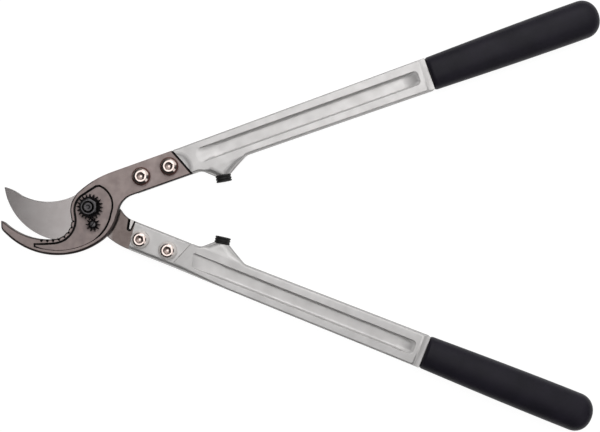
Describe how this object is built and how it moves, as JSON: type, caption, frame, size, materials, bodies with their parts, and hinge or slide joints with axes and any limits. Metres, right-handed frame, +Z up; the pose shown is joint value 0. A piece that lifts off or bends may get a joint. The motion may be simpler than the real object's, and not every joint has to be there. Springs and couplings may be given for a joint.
{
  "type": "bypass lopper",
  "caption": "Long-handled bypass lopper: forged hook and curved blade on channelled handles, with a toothed pivot nut, lock wheel, sleeved grips and rubber buffers.",
  "frame": {"origin": "middle of the pivot bolt head's flat end, on the pivot axis, where the tool rests when it lies on its back", "axes": "+Z runs up the pivot axis from the bolt's head to the toothed nut; +X runs from the cutting head to the handles along the middle line between them; +Y is the side of the hook's handle"},
  "size_m": [0.5645, 0.4114, 0.0288],
  "materials": {
    "forged_steel": "forged and fine-blasted, dark satin",
    "ground_steel": "ground, satin",
    "handle_aluminium": "forged and bead-blasted, matte",
    "grip_sleeve": "smooth soft sleeve, satin",
    "buffer_rubber": "matte",
    "blackened_steel": "blackened, satin",
    "plated_steel": "bright nickel plate",
    "bearing_bronze": "turned, dull"
  },
  "bodies": {
    "hook_arm": {"hook": "forged_steel", "upper_handle": "handle_aluminium", "upper_grip": "grip_sleeve", "upper_buffer": "buffer_rubber", "upper_bolt_front": "plated_steel", "upper_bolt_rear": "plated_steel", "upper_washer_front": "plated_steel", "upper_washer_rear": "plated_steel", "upper_nut_front": "plated_steel", "upper_nut_rear": "plated_steel", "pivot_bolt": "blackened_steel", "pivot_washer": "plated_steel", "lock_wheel_screw": "blackened_steel"},
    "blade_arm": {"blade": "ground_steel", "lower_handle": "handle_aluminium", "lower_grip": "grip_sleeve", "lower_buffer": "buffer_rubber", "lower_bolt_front": "plated_steel", "lower_bolt_rear": "plated_steel", "lower_washer_front": "plated_steel", "lower_washer_rear": "plated_steel", "lower_nut_front": "plated_steel", "lower_nut_rear": "plated_steel", "pivot_bush": "bearing_bronze"},
    "adjusting_nut": {"adjusting_nut": "blackened_steel"},
    "lock_wheel": {"lock_wheel": "blackened_steel"}
  },
  "joints": [
    {"name": "jaw_pivot", "type": "hinge", "parent": "hook_arm", "child": "blade_arm", "pos_m": [0, 0, 0.01335], "axis": [0, 0, 1], "range_deg": [-50, 23.3]},
    {"name": "adjusting_nut_turn", "type": "hinge", "parent": "hook_arm", "child": "adjusting_nut", "pos_m": [0, 0, 0.01335], "axis": [0, 0, 1], "range_deg": [-45, 45]},
    {"name": "lock_wheel_turn", "type": "hinge", "parent": "hook_arm", "child": "lock_wheel", "pos_m": [0.00335, -0.01654, 0.01335], "axis": [0, 0, 1], "range_deg": [-90, 90]}
  ],
  "couplings": [
    {"joint": "lock_wheel_turn", "follows": "adjusting_nut_turn", "ratio": -2}
  ]
}
